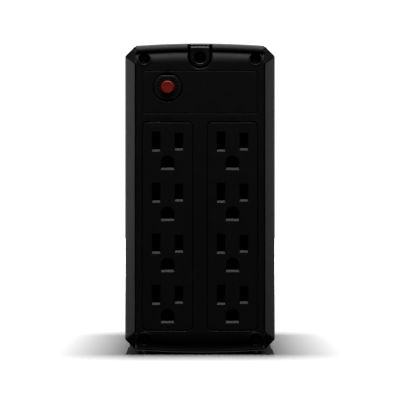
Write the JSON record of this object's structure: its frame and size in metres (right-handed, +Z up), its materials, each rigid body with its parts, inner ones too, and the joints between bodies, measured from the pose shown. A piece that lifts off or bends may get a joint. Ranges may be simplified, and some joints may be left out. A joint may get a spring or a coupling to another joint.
{
  "type": "uninterruptible power supply",
  "caption": "Black mini-tower uninterruptible power supply with grounded outlets, a red reset button and a cord gland on its rear, and a hinged battery door in front.",
  "frame": {"origin": "on the floor, under the middle of the body", "axes": "outlet face towards -Y, front face towards +Y, +Z up, +X to the right when looking at the outlets"},
  "size_m": [0.0832, 0.2744, 0.1728],
  "materials": {
    "panel_plastic": "fine moulded texture",
    "shell_plastic": "satin, slightly smoother than the panel",
    "outlet_plastic": "fine moulded texture",
    "gloss_plastic": "polished black",
    "reset_plastic": "red, satin",
    "rubber": "matt",
    "black_steel": "black oxide",
    "bright_steel": "zinc plated",
    "core_steel": "varnished laminations",
    "brass": "stamped",
    "winding": "varnished copper wire under tape",
    "aluminium": "extruded",
    "circuit_board": "solder mask",
    "battery_plastic": "moulded",
    "relay_plastic": "moulded",
    "film_plastic": "moulded",
    "sleeve": "shrink sleeve",
    "red_insulation": "extruded",
    "black_insulation": "extruded",
    "lens": "clear"
  },
  "bodies": {
    "chassis": {"base_tray": "panel_plastic", "battery_case": "battery_plastic", "battery_negative_lead": "black_insulation", "battery_negative_terminal": "brass", "battery_positive_lead": "red_insulation", "battery_positive_terminal": "brass", "board_screw_1": "bright_steel", "board_screw_2": "bright_steel", "breaker_body": "outlet_plastic", "breaker_line_tab": "brass", "breaker_load_tab": "brass", "bulk_capacitor_1": "sleeve", "bulk_capacitor_2": "sleeve", "buzzer": "sleeve", "component_shelf": "sleeve", "control_board": "circuit_board", "cord_gland": "rubber", "film_capacitor": "film_plastic", "filter_choke": "winding", "foot_1": "rubber", "foot_2": "rubber", "foot_3": "rubber", "foot_4": "rubber", "front_panel": "gloss_plastic", "left_ground_bus": "brass", "left_heatsink": "aluminium", "left_hinge_pin": "bright_steel", "left_line_bus": "brass", "left_neutral_bus": "brass", "left_outlet_block": "outlet_plastic", "left_outlet_cover": "outlet_plastic", "left_side_shell": "shell_plastic", "main_board": "circuit_board", "power_button_ring": "bright_steel", "power_switch_body": "sleeve", "rear_panel": "panel_plastic", "rear_screw_1": "black_steel", "rear_screw_2": "black_steel", "rear_screw_3": "black_steel", "rear_screw_4": "black_steel", "relay_1": "relay_plastic", "relay_2": "relay_plastic", "right_ground_bus": "brass", "right_heatsink": "aluminium", "right_hinge_pin": "bright_steel", "right_line_bus": "brass", "right_neutral_bus": "brass", "right_outlet_block": "outlet_plastic", "right_outlet_cover": "outlet_plastic", "right_side_shell": "shell_plastic", "status_light_pipe": "lens", "strap_screw_1": "bright_steel", "strap_screw_2": "bright_steel", "top_cover": "panel_plastic", "transformer_core": "core_steel", "transformer_strap": "bright_steel", "transformer_winding": "winding"},
    "reset_button": {"reset_button": "reset_plastic"},
    "power_button": {"power_button": "gloss_plastic"},
    "battery_door": {"battery_door": "gloss_plastic"}
  },
  "joints": [
    {"name": "reset_button_slide", "type": "slide", "parent": "chassis", "child": "reset_button", "axis": [0, -1, 0], "range_m": [-0.001, 0.003]},
    {"name": "power_button_slide", "type": "slide", "parent": "chassis", "child": "power_button", "axis": [0, -1, 0], "range_m": [0, 0.0015], "stiffness_N_per_m": 600},
    {"name": "battery_door_hinge", "type": "hinge", "parent": "chassis", "child": "battery_door", "pos_m": [0, 0.1318, 0.005], "axis": [-1, 0, 0], "range_deg": [0, 90]}
  ]
}
